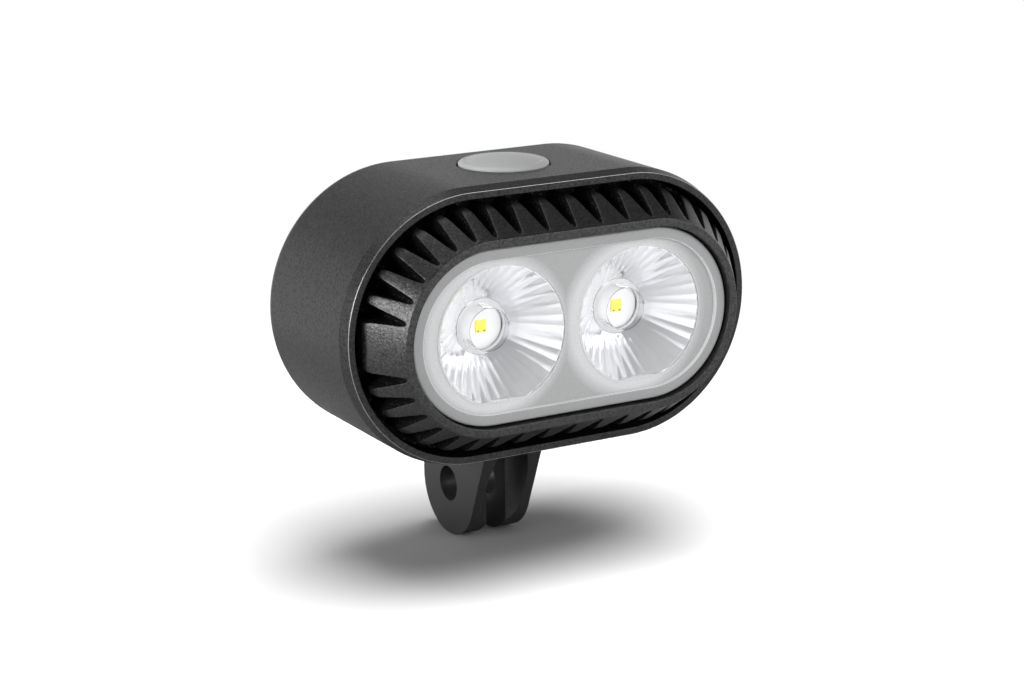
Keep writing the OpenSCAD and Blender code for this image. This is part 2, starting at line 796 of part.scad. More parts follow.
module switch_board() {
  color(green) lamp() translate([0, y_button, z_switch_board_bottom]) difference() {
    translate([-frame_out_x, -board_half_len, 0])
      cube([2 * frame_out_x, 2 * board_half_len, switch_board_t]);
    at_sides(leg_screw_x)
      translate([0, 0, -eps]) cylinder(r = small_r + 2 * thread_gap, h = switch_board_t + 2 * eps);
  }
}

module switch_board_screws() {
  color(steel) lamp()
    at_sides(leg_screw_x)
      translate([0, y_button, z_switch_board_bottom])
        rotate([180, 0, 0])
          screw(small_r, switch_board_t + leg_hole_d - tip_room, small_head_r, small_head_h);
}

module switch_body() {
  z_lid = z_switch - switch_lid_t;
  well_d = plunger_foot_h + button_travel + seat_gap;
  color(black) lamp() translate([0, y_button, 0]) difference() {
    translate([-switch_w / 2, -switch_w / 2, z_switch_board]) cube([switch_w, switch_w, switch_h]);
    translate([0, 0, z_lid - well_d]) cylinder(r = plunger_foot_r + seat_gap, h = well_d);
    translate([0, 0, z_lid - eps]) cylinder(r = plunger_r + seat_gap, h = switch_lid_t + over);
  }
}

module switch_plunger() {
  color(silver) lamp() translate([0, y_button, 0]) {
    z_foot_top = z_switch - switch_lid_t - eps;
    translate([0, 0, z_foot_top - plunger_foot_h]) cylinder(r = plunger_foot_r, h = plunger_foot_h);
    translate([0, 0, z_foot_top - eps]) cylinder(r = plunger_r, h = z_plunger - z_foot_top + eps);
  }
}

module status_led() {
  color(yellow) lamp()
    translate([switch_w / 2 + status_led_gap, y_button - status_led_size.y / 2, z_switch_board])
      cube(status_led_size);
}

module battery_pack() {
  color("#5a7fb0") lamp()
    translate([0, 0, z_battery_mid])
      between(y_battery, y_battery_back) round_rect(2 * battery_half_w, battery_h, battery_corner);
}

module battery_pad() {
  color("#3a3a40") lamp()
    translate([0, 0, z_battery_mid])
      between(y_foam, y_foam + foam_t)
        round_rect(2 * (battery_half_w - foam_inset), battery_h - 2 * foam_inset, battery_corner);
}

module battery_leads() {
  color("#a33b32") lamp() at_sides(battery_lead_x) bar(wire_r, y_battery_back, y_driver);
}

module driver_board() {
  color(green) lamp() between(y_driver, y_driver_back) difference() {
    oblong_plan(driver_r);
    for (x = [-1, 1]) translate([x * post_x, 0]) circle(small_r + 2 * thread_gap);
  }
}

module driver_board_screws() {
  color(steel) lamp()
    at_sides(post_x)
      translate([0, y_driver, 0])
        rotate([90, 0, 0]) screw(small_r, driver_t + post_hole_d - tip_room, small_head_r, small_head_h);
}

module inductor() {
  color("#4c4c50") lamp()
    translate([inductor_at.x, 0, inductor_at.y])
      between(y_driver_back, y_driver_back + inductor_size.z)
        round_rect(inductor_size.x, inductor_size.y, inductor_corner);
}

module controller_chip() {
  color(black) lamp()
    translate([chip_at.x, 0, chip_at.y])
      between(y_driver_back, y_driver_back + chip_size.z) round_rect(chip_size.x, chip_size.y, chip_corner);
}

module charging_socket() {
  inner_w = socket_w - 2 * socket_shell;
  inner_h = socket_h - 2 * socket_shell;
  color(silver) lamp() translate([0, 0, z_socket]) difference() {
    between(y_driver_back, y_pocket) round_rect(socket_w, socket_h, socket_h / 2 - eps);
    between(y_driver_back + socket_back_t, y_pocket + eps) round_rect(inner_w, inner_h, inner_h / 2 - eps);
  }
}

module port_cover() {
  color(rubber) lamp() difference() {
    union() {
      translate([-door_half_w, y_door - door_t, door_bottom])
        cube([2 * door_half_w, door_t, door_top - door_bottom]);
      translate([-door_half_w, y_hinge, hinge_z])
        rotate([0, 90, 0]) cylinder(r = knuckle_r, h = 2 * door_half_w);
      translate([0, 0, z_socket])
        between(y_door - door_t - plug_t, y_door - door_t + eps)
          round_rect(socket_w, socket_h, socket_h / 2 - eps);
    }
    translate([-door_half_w - eps, y_hinge, hinge_z])
      rotate([0, 90, 0]) cylinder(r = pin_r + pin_gap, h = 2 * door_half_w + 2 * eps);
  }
}

module port_cover_pin() {
  color(steel) lamp()
    translate([-pin_len / 2, y_hinge, hinge_z]) rotate([0, 90, 0]) cylinder(r = pin_r, h = pin_len);
}

// Side view of a prong: round about the bolt hole, sloping up and forward to the foot
module prong_plan() {
  bore = [y_bore, z_bore];
  front = [y_foot + lug_lead, z_foot + eps];
  back = [y_foot_back, z_foot + eps];
  shoulder = [y_bore + lug_r, z_bore + lug_shoulder];
  polygon([front, touch(front, bore, lug_r, 1), bore, [y_bore + lug_r, z_bore], shoulder, back]);
  translate(bore) circle(lug_r);
}

module mount_bracket() {
  y_end = y_bore + lug_r + over;
  color(black) lamp() difference() {
    union() {
      translate([0, y_foot_mid, z_foot]) linear_extrude(foot_t) round_rect(foot_w, foot_len, foot_corner);
      rotate([0, 0, 90]) rotate([90, 0, 0]) linear_extrude(lug_w, center = true) prong_plan();
    }
    translate([0, 0, z_bore - lug_r - over]) linear_extrude(z_foot - z_bore + lug_r + over) {
      translate([-mouth, y_foot - over]) square([prong_gap, y_end - y_foot + over]);
      translate([0, y_mouth]) circle(mouth_r);
    }
    translate([-lug_w, y_bore, z_bore]) rotate([0, 90, 0]) cylinder(r = bore_r, h = 2 * lug_w);
    at_foot_screws(z_foot - eps) {
      cylinder(r = m3_r + 2 * thread_gap, h = foot_t + 2 * eps);
      cylinder(r = m3_head_r + seat_gap, h = m3_head_h + eps);
    }
  }
}

module mount_screws() {
  color(steel) lamp()
    at_foot_screws(z_foot + m3_head_h)
      rotate([180, 0, 0])
        screw(m3_r, foot_t - m3_head_h + insert_len - 2 * thread_end, m3_head_r, m3_head_h);
}

module mount_inserts() {
  color(gold) lamp()
    at_foot_screws(-case_r) difference() {
      cylinder(r = insert_r, h = insert_len);
      translate([0, 0, -eps]) cylinder(r = m3_r + thread_gap, h = insert_len + 2 * eps);
    }
}

case();
rear_cover();
rear_gasket();
rear_screws();
heat_sink();
head_seal();
head_screws();
lens();
lens_gasket();
left_optic();
right_optic();
left_optic_holder();
right_optic_holder();
led_board();
led_board_screws();
left_led();
right_led();
thermal_pad();
led_leads();
button_cap();
button_frame();
switch_board();
switch_board_screws();
switch_body();
switch_plunger();
status_led();
battery_pack();
battery_pad();
battery_leads();
driver_board();
driver_board_screws();
inductor();
controller_chip();
charging_socket();
port_cover();
port_cover_pin();
mount_bracket();
mount_screws();
mount_inserts();
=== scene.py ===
"""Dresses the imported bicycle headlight: finishes, rounded edges, optics, studio light and camera.

Shapes are drawn in millimetres about the lamp's own axis: X to the right as one faces the lamp, Y backwards
from the case's rim, Z up. TO_PART carries them into the part's frame, in metres. In the names of sizes, R is
a radius about the oblong's middle line or a round piece's axis, Y a station, W a width and T a thickness.
"""

import json
import math

import bmesh
import bpy
from mathutils import Matrix, Vector


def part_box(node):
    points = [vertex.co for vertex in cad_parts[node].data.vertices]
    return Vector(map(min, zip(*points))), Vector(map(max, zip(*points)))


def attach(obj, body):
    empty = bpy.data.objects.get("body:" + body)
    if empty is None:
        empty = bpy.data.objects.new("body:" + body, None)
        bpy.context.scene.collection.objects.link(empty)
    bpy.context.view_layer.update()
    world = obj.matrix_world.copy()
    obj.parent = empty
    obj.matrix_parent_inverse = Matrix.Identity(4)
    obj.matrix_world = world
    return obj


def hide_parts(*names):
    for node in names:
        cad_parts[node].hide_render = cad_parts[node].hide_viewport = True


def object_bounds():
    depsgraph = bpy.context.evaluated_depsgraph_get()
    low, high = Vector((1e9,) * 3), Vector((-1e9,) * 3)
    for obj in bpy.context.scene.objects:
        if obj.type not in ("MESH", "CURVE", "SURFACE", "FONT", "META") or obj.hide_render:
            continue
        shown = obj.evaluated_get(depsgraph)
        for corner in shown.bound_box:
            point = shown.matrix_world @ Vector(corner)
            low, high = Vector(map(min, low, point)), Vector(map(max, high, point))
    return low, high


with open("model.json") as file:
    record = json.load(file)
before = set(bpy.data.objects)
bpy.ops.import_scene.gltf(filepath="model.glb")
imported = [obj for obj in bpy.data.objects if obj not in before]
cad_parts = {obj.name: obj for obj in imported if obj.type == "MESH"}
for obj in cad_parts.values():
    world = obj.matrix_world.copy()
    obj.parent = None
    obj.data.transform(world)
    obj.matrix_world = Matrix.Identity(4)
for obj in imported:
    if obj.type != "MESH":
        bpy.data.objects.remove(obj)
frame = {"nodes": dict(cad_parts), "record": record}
cad_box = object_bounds()

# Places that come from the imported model
MM = 0.001
case_low, case_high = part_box("case")
RIM_Y = case_low.y
AXIS_Z = (case_low.z + case_high.z) / 2
CASE_R = (case_high.z - case_low.z) / 2 / MM
END_X = case_high.x / MM - CASE_R
CASE_BACK = (case_high.y - RIM_Y) / MM
TO_PART = Matrix.Translation((0, RIM_Y, AXIS_Z)) @ Matrix.Scale(MM, 4)

# How finely curves are drawn, and when an edge is sharp
ARC_STEPS = 72
RUN_STEPS = 12
TURN_STEPS = 96
ROUND_STEPS = 5
CASE_ROUND_STEPS = 8
BEZEL_ROUND_STEPS = 4
RING_ROUND_STEPS = 3
FIN_STEPS = 5
BLOCK_STEPS = 12
STRAIGHT_STEPS = 4
FLANK_STEPS = 16
CROWN_STEPS = 8
DOME_STEPS = 20
HALVINGS = 30
MERGE = 0.0005
SHARP = math.radians(32)
OPTIC_SHARP = math.radians(25)

# Case
OPENING_R = 17.05
RIM_R = 18.0
RIM_BEVEL = 1.8
RIM_EDGE = 0.1
BEVEL_ROUND = 0.5
BACK_ROUND = 2.3
REBATE_R = 15.75
REBATE_ROUND = 0.1
LEDGE_R = 14.8
LEDGE_Y = 21.9
LEDGE_T = 1.0

# Heat sink
POCKET_R = 11.8
CUP_R = 10.4
BEZEL_R = 12.9
TIP_R = 16.2
SINK_R = 16.75
SPIGOT_R = 11.9
BEZEL_Y = -6.0
TIP_Y = -0.6
SEAT_Y = -2.2
FLOOR_Y = 5.8
PLATE_Y = 3.6
PLATE_BACK = 6.0
SINK_BACK = 9.0
SLOT_ROOT = 13.55
SLOT_R = 0.4
FIN_TIP_W = 1.15
RUN_FINS = 6
ARC_SLOTS = 7
ARC_STEP = 12.6
ARC_START = 91.5
FIN_EDGE = (0.0, 0.025, 0.09)
TIP_CORNER = 0.42
TIP_ROUND = 0.8
BLOCK_ROUND = 0.3
BEZEL_EDGE = 0.14
SLOPE_FROM = 12.99
FLANK_FROM = 13.6
ROOT_SHARES = (0.0, 0.3, 0.65)
TIP_DROPS = (0.8, 0.62, 0.46, 0.32, 0.2, 0.11, 0.05, 0.015, 0.0)

# Lens and optics
LENS_R = 11.6
BORDER_R = 10.0
LENS_Y = -5.2
WINDOW_Y = -4.7
LENS_BACK = -2.8
LENS_EDGE = 0.3
STEP_LEAN = 0.1
STEP_ROUND = 0.1
WINDOW_R = 9.2
WINDOW_T = 0.06
# Painted halo on the frosted lens: its middle lies this far left of each optic's axis
PAINTED_HALO_SHIFT = 1.0
RING_W = 0.3
RING_H = 0.12
RING_ROUND = 0.05
OPTIC_X = 10.35
OPTIC_R = 9.18
OPTIC_Y = -4.62
OPTIC_BACK = 0.95
OPTIC_FLANGE = 0.03
FLANK_R = 9.16
OPTIC_BACK_R = 3.8
FLANK_POWER = 0.95
WELL_R = 3.1
WELL_DRAFT = 0.2
OUTLINE_W = 0.1
PIP_R = 0.26
PIP_REACH = 4.2
PIPS = 4
WELL_D = 2.1
WELL_CROWN = 0.25
OPTIC_FLAT = -8.5
FLUTES = 36
FLUTE_STEPS = 8
FLUTE_DEPTH = 0.17
LED_BOARD_Y = 3.7
LED_W = 3.45
LED_BASE = 0.6
LED_STEP = 1.85
LED_PLATE = 6.2
DIE_W = 1.6
DIE_T = 0.15
CONTACT_W = 0.2
CONTACT_T = 0.03
CONTACT_X = 0.45
CONTACT_IN = 0.16

# Button
BUTTON_Y = 13.05
HOLE_R = 6.35
HOLE_EDGE = 0.15
HOLE_SPARE = 1.0
CAP_R = 6.1
CAP_TOP = 19.65
CAP_DOME_R = 4.75
CAP_DOME = 0.62
CAP_POWER = 2.1
CAP_GROOVE = (5.05, 18.93)
CAP_LIP = (5.45, 18.97)
CAP_SHOULDER = (5.85, 18.82)
CAP_EDGE = 18.6
CAP_ROUNDS = (0, 0.3, 0.3, 0.4, 0.2, 0)
CAP_FLANGE_R = 6.85
CAP_FLANGE_TOP = 17.0
CAP_FLANGE_BOTTOM = 16.0

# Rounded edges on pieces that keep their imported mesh, with their widths
SOFT_EDGES = {"mount_bracket": 0.35, "rear_cover": 0.2, "port_cover": 0.25}
SOFT_SEGMENTS = 3
SOFT_ANGLE = math.radians(40)

# Finishes: how far a grain varies the roughness, and how far light sinks into frosted plastic
ROUGH_SPREAD = 0.06
FROST_WEIGHT = 0.15
FROST_REACH = 0.8

# Floor: its colour for light that bounces and as it is seen, and where it fades to white, in metres
FLOOR_R = 4.0
FLOOR_LIT = 0.11
FLOOR_SHOWN = 0.29
FLOOR_NEAR = 0.075
FLOOR_FAR = 0.15

# World: its strength at the horizon and overhead, and the heights between which it changes
HORIZON = 1.0
OVERHEAD = 0.12
FADE_FROM = 0.2
FADE_TO = 0.5

# Lamps: direction, then distance, width and height in metres, then radiance
SOFTBOXES = {
    "left_softbox": ((-0.96, -0.09, 0.26), 0.7, 0.4, 0.3, 8.0),
    "top_softbox": ((-0.15, 0.45, 0.88), 0.8, 0.8, 0.6, 1.3),
    "front_softbox": ((0.4, -0.8, 0.42), 0.9, 0.6, 0.5, 3.0),
}
FLOOR_SOFTBOX = ((0.06, -0.19, 1.0), 0.5, 0.5, 0.5, 21.0)

# Camera: azimuth, elevation and roll in degrees, target and distance in metres, lens in millimetres
VIEW_ANGLES = (-29.58, 14.956, -0.613)
VIEW_TARGET = (-0.005226, -0.019756, 0.025197)
VIEW_DISTANCE = 0.322763
VIEW_LENS = 86.487


# Mesh helpers

def rounded(points, radii, steps=ROUND_STEPS):
    """A line of points with an arc in place of each corner that has a radius."""
    line = []
    for i, point in enumerate(points):
        if radii[i] == 0:
            line.append(tuple(point))
            continue
        corner = Vector(point)
        before = (Vector(points[i - 1]) - corner).normalized()
        after = (Vector(points[(i + 1) % len(points)]) - corner).normalized()
        half = before.angle(after) / 2
        centre = corner + (before + after).normalized() * radii[i] / math.sin(half)
        first = corner + before * radii[i] / math.tan(half) - centre
        last = corner + after * radii[i] / math.tan(half) - centre
        for k in range(steps + 1):
            line.append(tuple(centre + first.slerp(last, k / steps) * radii[i]))
    return line


def oblong_spine():
    """Foot and outward direction of each station once around the oblong, from the right end's bottom."""
    spine = []
    for end in (1, -1):
        for i in range(ARC_STEPS + 1):
            angle = math.radians(180 * i / ARC_STEPS - 90 * end)
            spine.append((end * END_X, math.cos(angle), math.sin(angle)))
        for i in range(1, RUN_STEPS):
            spine.append((end * END_X * (1 - 2 * i / RUN_STEPS), 0.0, float(end)))
    return spine


def oblong_at(x, z):
    """Foot on the oblong's middle line, outward direction and distance of a point in the front view."""
    foot = max(-END_X, min(END_X, x))
    r = math.hypot(x - foot, z)
    return foot, (x - foot) / r, z / r, r


def sweep(bm, profile, closed=True, material=0):
    """Carries a section drawn as (radius, station) once around the oblong."""
    rings = []
    for foot, dx, dz in oblong_spine():
        rings.append([bm.verts.new((foot + r * dx, y, r * dz)) for r, y in profile])
    count = len(profile)
    for k, ring in enumerate(rings):
        after = rings[(k + 1) % len(rings)]
        for i in range(count if closed else count - 1):
            j = (i + 1) % count
            corners = (ring[i], after[i], after[j], ring[j])
            bm.faces.new(corners).material_index = material


def revolve(bm, profile, centre, axis, steps=TURN_STEPS, flutes=None):
    """Turns a section drawn as (radius, height along the axis) about an axis through centre.

    flutes tells for each point of the section how deep the optic's flutes cut into its circle.
    """
    axis = Vector(axis)
    side = Vector((1, 0, 0))
    up = axis.cross(side)
    depths = flutes or [0.0] * len(profile)
    rings = []
    for k in range(steps):
        turn = 2 * math.pi * k / steps
        out = side * math.cos(turn) + up * math.sin(turn)
        wave = abs(math.sin(FLUTES * turn / 2))
        ring = []
        for (r, h), depth in zip(profile, depths):
            ring.append(bm.verts.new(Vector(centre) + axis * h + out * (r - depth * wave)))
        rings.append(ring)
    for k, ring in enumerate(rings):
        after = rings[(k + 1) % steps]
        for i in range(len(profile) - 1):
            bm.faces.new((ring[i], after[i], after[i + 1], ring[i + 1]))


def clean(bm):
    """Welds coincident points, drops empty faces and turns all faces outwards."""
    bmesh.ops.remove_doubles(bm, verts=bm.verts, dist=MERGE)
    bmesh.ops.dissolve_degenerate(bm, edges=bm.edges, dist=MERGE)
    bmesh.ops.recalc_face_normals(bm, faces=bm.faces)


def new_object(name, bm):
    """Turns a finished mesh into an object of the scene."""
    mesh = bpy.data.meshes.new(name)
    bm.to_mesh(mesh)
    bm.free()
    made = bpy.data.objects.new(name, mesh)
    bpy.context.scene.collection.objects.link(made)
    return made


def add_piece(name, bm, materials, body, nodes, sharp=SHARP):
    """Makes an object of a mesh drawn in lamp millimetres, and ties it to the frame."""
    clean(bm)
    for face in bm.faces:
        face.smooth = True
    for edge in bm.edges:
        if len(edge.link_faces) == 2 and edge.calc_face_angle() > sharp:
            edge.smooth = False
    bmesh.ops.transform(bm, matrix=TO_PART, verts=bm.verts)
    piece = new_object(name, bm)
    for material in materials:
        piece.data.materials.append(material)
    flat = piece.modifiers.new("flat_faces", "WEIGHTED_NORMAL")
    flat.keep_sharp = True
    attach(piece, body)
    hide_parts(*nodes)
    return piece


# Materials

def new_material(name):
    """A new material, its node tree and its Principled shader."""
    material = bpy.data.materials.new(name)
    material.use_nodes = True
    tree = material.node_tree
    return material, tree, tree.nodes["Principled BSDF"]


def object_noise(tree, scale, detail=3.0, rough=0.6):
    """Noise in the part's own coordinates, with features of about 1 / scale metres."""
    place = tree.nodes.new("ShaderNodeTexCoord")
    noise = tree.nodes.new("ShaderNodeTexNoise")
    noise.inputs["Scale"].default_value = scale
    noise.inputs["Detail"].default_value = detail
    noise.inputs["Roughness"].default_value = rough
    tree.links.new(place.outputs["Object"], noise.inputs["Vector"])
    return noise.outputs["Fac"]


def ramp(tree, source, low, high, low_at=0.3, high_at=0.7):
    """Two colours mixed by a source value."""
    node = tree.nodes.new("ShaderNodeValToRGB")
    node.color_ramp.elements[0].position = low_at
    node.color_ramp.elements[0].color = (*low, 1)
    node.color_ramp.elements[1].position = high_at
    node.color_ramp.elements[1].color = (*high, 1)
    tree.links.new(source, node.inputs["Fac"])
    return node.outputs["Color"]


def span(tree, source, low, high, low_at=0.3, high_at=0.7):
    """A value between low and high that follows a source value."""
    node = tree.nodes.new("ShaderNodeMapRange")
    node.inputs["From Min"].default_value = low_at
    node.inputs["From Max"].default_value = high_at
    node.inputs["To Min"].default_value = low
    node.inputs["To Max"].default_value = high
    tree.links.new(source, node.inputs["Value"])
    return node.outputs["Result"]


def grained(name, base, rough, grain_mm, depth_mm, spread=0.25, metal=0.0):
    """A finish with a fine grain: its colour, roughness and relief all follow the same noise."""
    material, tree, shader = new_material(name)
    grain = object_noise(tree, 1 / (grain_mm * MM))
    low = [c * (1 - spread) for c in base]
    high = [c * (1 + spread) for c in base]
    tree.links.new(ramp(tree, grain, low, high), shader.inputs["Base Color"])
    gloss = span(tree, grain, rough - ROUGH_SPREAD, rough + ROUGH_SPREAD)
    tree.links.new(gloss, shader.inputs["Roughness"])
    bump = tree.nodes.new("ShaderNodeBump")
    bump.inputs["Strength"].default_value = 1.0
    bump.inputs["Distance"].default_value = depth_mm * MM
    tree.links.new(grain, bump.inputs["Height"])
    tree.links.new(bump.outputs["Normal"], shader.inputs["Normal"])
    shader.inputs["Metallic"].default_value = metal
    return material


def sparkling(material, grain_mm, low, high, low_at=0.0, high_at=1.0):
    """Lets a finish reflect more in some grains of its sand than in others."""
    tree = material.node_tree
    place = tree.nodes.new("ShaderNodeTexCoord")
    grains = tree.nodes.new("ShaderNodeTexVoronoi")
    grains.inputs["Scale"].default_value = 1 / (grain_mm * MM)
    tree.links.new(place.outputs["Object"], grains.inputs["Vector"])
    level = tree.nodes.new("ShaderNodeSeparateColor")
    tree.links.new(grains.outputs["Color"], level.inputs["Color"])
    shine = span(tree, level.outputs["Red"], low, high, low_at, high_at)
    tree.links.new(shine, tree.nodes["Principled BSDF"].inputs["Specular IOR Level"])
    return material


def painted_glow(material, colour, strength):
    """Paints a little glow into a finish, as if it shone by itself."""
    inputs = material.node_tree.nodes["Principled BSDF"].inputs
    inputs["Emission Color"].default_value = (*colour, 1)
    inputs["Emission Strength"].default_value = strength
    return material


def mix_shaders(tree, share, first, second):
    """Makes a surface of two shaders: the first where share is 0, the second where it is 1."""
    mix = tree.nodes.new("ShaderNodeMixShader")
    tree.links.new(share, mix.inputs["Fac"])
    tree.links.new(first, mix.inputs[1])
    tree.links.new(second, mix.inputs[2])
    tree.links.new(mix.outputs["Shader"], tree.nodes["Material Output"].inputs["Surface"])


def clear(name, tint, ior):
    """Clear plastic that lets the lamps' light through to what is behind it."""
    material, tree, shader = new_material(name)
    shader.inputs["Base Color"].default_value = (*tint, 1)
    shader.inputs["Transmission Weight"].default_value = 1.0
    shader.inputs["Roughness"].default_value = 0.0
    shader.inputs["IOR"].default_value = ior
    path = tree.nodes.new("ShaderNodeLightPath")
    pane = tree.nodes.new("ShaderNodeBsdfTransparent")
    pane.inputs["Color"].default_value = (*tint, 1)
    mix_shaders(tree, path.outputs["Is Shadow Ray"], shader.outputs["BSDF"], pane.outputs["BSDF"])
    return material


def frosted(name, base, rough):
    """Milky plastic: light sinks in a little and comes out soft."""
    material = grained(name, base, rough, grain_mm=0.25, depth_mm=0.004, spread=0.03)
    shader = material.node_tree.nodes["Principled BSDF"]
    shader.inputs["Subsurface Weight"].default_value = FROST_WEIGHT
    shader.inputs["Subsurface Radius"].default_value = (1, 1, 1)
    shader.inputs["Subsurface Scale"].default_value = FROST_REACH * MM
    return material


def vector_step(tree, operation, source, value=(0, 0, 0)):
    """One vector operation between a source and a fixed vector."""
    node = tree.nodes.new("ShaderNodeVectorMath")
    node.operation = operation
    node.inputs[1].default_value = value
    tree.links.new(source, node.inputs[0])
    return node.outputs["Value" if operation == "LENGTH" else "Vector"]


def window_distance(tree):
    """Distance from a line a little to the left of the nearer optic's axis, in metres: the middle of the
    painted halo.
    """
    place = tree.nodes.new("ShaderNodeTexCoord").outputs["Object"]
    place = vector_step(tree, "SUBTRACT", place, (-PAINTED_HALO_SHIFT * MM, 0, AXIS_Z))
    place = vector_step(tree, "MULTIPLY", place, (1, 0, 1))
    place = vector_step(tree, "ABSOLUTE", place)
    place = vector_step(tree, "SUBTRACT", place, (OPTIC_X * MM, 0, 0))
    return vector_step(tree, "LENGTH", place)


def painted_halo(material, near, far, near_mm, far_mm):
    """Paints a halo of light into a finish's colour: scaled from near at the windows to far away from them.
    """
    tree = material.node_tree
    base = tree.nodes["Principled BSDF"].inputs["Base Color"]
    share = span(tree, window_distance(tree), near, far, near_mm * MM, far_mm * MM)
    scaled = tree.nodes.new("ShaderNodeVectorMath")
    scaled.operation = "SCALE"
    tree.links.new(base.links[0].from_socket, scaled.inputs[0])
    tree.links.new(share, scaled.inputs["Scale"])
    tree.links.new(scaled.outputs["Vector"], base)
    return material


# Finishes by slot: colour, roughness, then the size and depth of the grain in millimetres
FINISH = {
    "case_charcoal": sparkling(
        grained("case_charcoal", (0.014, 0.014, 0.0144), 0.4, 0.34, 0.03, spread=0.4),
        grain_mm=0.2, low=0.22, high=0.62),
    "fin_black": sparkling(
        grained("fin_black", (0.01, 0.01, 0.0105), 0.36, 0.36, 0.05, spread=0.5),
        grain_mm=0.22, low=0.45, high=0.95),
    "cover_charcoal": grained("cover_charcoal", (0.02, 0.02, 0.0205), 0.46, 0.3, 0.02),
    "bracket_black": grained("bracket_black", (0.03, 0.03, 0.031), 0.4, 0.5, 0.006),
    "seal_rubber": grained("seal_rubber", (0.02, 0.02, 0.02), 0.7, 0.2, 0.005),
    "door_rubber": grained("door_rubber", (0.03, 0.03, 0.031), 0.62, 0.2, 0.006),
    "silicone_grey": frosted("silicone_grey", (0.5, 0.505, 0.51), 0.42),
    # Frosted lens with a painted halo of light, brighter near the windows
    "lens_clear": painted_halo(
        frosted("lens_frost_painted_halo", (0.52, 0.525, 0.53), 0.3), near=1.55, far=0.95, near_mm=9.6, far_mm=11.4),
    "optic_clear": clear("optic_clear", (0.975, 0.98, 0.99), 1.0),
    "led_yellow": grained("led_yellow", (0.85, 0.62, 0.08), 0.4, 0.3, 0.002),
    "screw_steel": grained("screw_steel", (0.55, 0.56, 0.57), 0.32, 0.1, 0.002, metal=1.0),
    "socket_steel": grained("socket_steel", (0.62, 0.63, 0.64), 0.28, 0.1, 0.002, metal=1.0),
    "insert_brass": grained("insert_brass", (0.6, 0.44, 0.18), 0.35, 0.1, 0.002, metal=1.0),
    "white_plastic": grained("white_plastic", (0.8, 0.8, 0.79), 0.4, 0.2, 0.002, spread=0.03),
    "board_white": grained("board_white", (0.82, 0.82, 0.8), 0.35, 0.3, 0.002, spread=0.03),
    "board_green": grained("board_green", (0.03, 0.15, 0.06), 0.35, 0.4, 0.002),
    "chip_black": grained("chip_black", (0.02, 0.02, 0.021), 0.5, 0.1, 0.003),
    "ferrite_grey": grained("ferrite_grey", (0.08, 0.08, 0.085), 0.65, 0.2, 0.006),
    "pad_grey": grained("pad_grey", (0.33, 0.36, 0.45), 0.8, 0.3, 0.005),
    "foam_dark": grained("foam_dark", (0.05, 0.05, 0.055), 0.95, 0.4, 0.06, spread=0.4),
    "wire_red": grained("wire_red", (0.35, 0.04, 0.03), 0.4, 0.3, 0.002),
    "battery_blue": grained("battery_blue", (0.1, 0.2, 0.42), 0.35, 0.4, 0.002),
}

# Finishes of single faces and small features
# Bare metal on the rim's rounded front edge: a worn edge, and a painted highlight line along it
RIM_WEAR_AND_HIGHLIGHT = grained("rim_worn_edge_highlight", (0.32, 0.32, 0.325), 0.3, 0.3, 0.002, spread=0.1, metal=1.0)
# Painted shade: the fins' black made darker, its sheen kept to rare grains, for the slots' walls, the plate
# between the fins and the case's inner wall
SLOT_PAINTED_SHADE = sparkling(
    grained("slot_painted_shade", (0.005, 0.005, 0.0052), 0.6, 0.36, 0.02, spread=0.5),
    grain_mm=0.2, low=0.1, high=1.0, low_at=0.93, high_at=0.96)
FLANK = grained("optic_flank", (0.9, 0.905, 0.92), 0.1, 2.0, 0.001, spread=0.02, metal=0.66)
WINDOW = clear("window_clear", (0.99, 0.99, 0.99), 1.0)
WELL = clear("well_clear", (0.78, 0.79, 0.8), 1.08)
# Grey mirror bands at the clear optic's collar and well edges: painted lines of light and shade
OUTLINE = grained("optic_painted_outline", (0.5, 0.5, 0.51), 0.12, 0.3, 0.002, spread=0.05, metal=1.0)
COLLAR = grained("optic_collar", (0.66, 0.66, 0.665), 0.35, 0.3, 0.002, spread=0.05)
BORDER = frosted("lens_border", (0.43, 0.435, 0.44), 0.3)
# Painted highlight: a bright line on the rounded step down from the lens border
STEP = frosted("lens_step", (0.78, 0.785, 0.79), 0.3)
# Painted glow: the emitter is off, yet its die shines a little
DIE = painted_glow(
    grained("die_phosphor_painted_glow", (0.9, 0.72, 0.1), 0.5, 0.25, 0.002, spread=0.06),
    colour=(1.0, 0.76, 0.12), strength=0.15)
CERAMIC = grained("led_ceramic", (0.86, 0.86, 0.85), 0.4, 0.15, 0.002, spread=0.04)
CONTACT = grained("led_contact", (0.12, 0.1, 0.06), 0.4, 0.1, 0.001)
SINK_FINISH = [FINISH["fin_black"], SLOT_PAINTED_SHADE]
# Index of the heat sink's painted shade
DARK = SINK_FINISH.index(SLOT_PAINTED_SHADE)


# Pieces

def case_finish(face):
    """The finish of one of the case's faces, told by its place; the opening's inner wall gets painted shade.
    """
    middle = face.calc_center_median()
    reach = oblong_at(middle.x, middle.z)[3]
    # The rim's rounded front edge: worn metal with a painted highlight
    if middle.y < RIM_EDGE and reach > RIM_R - RIM_EDGE:
        return RIM_WEAR_AND_HIGHLIGHT
    # Inner wall of the opening: painted shade
    if RIM_EDGE < middle.y < LEDGE_Y - LEDGE_T and reach < OPENING_R + RIM_EDGE:
        return SLOT_PAINTED_SHADE
    return FINISH["case_charcoal"]


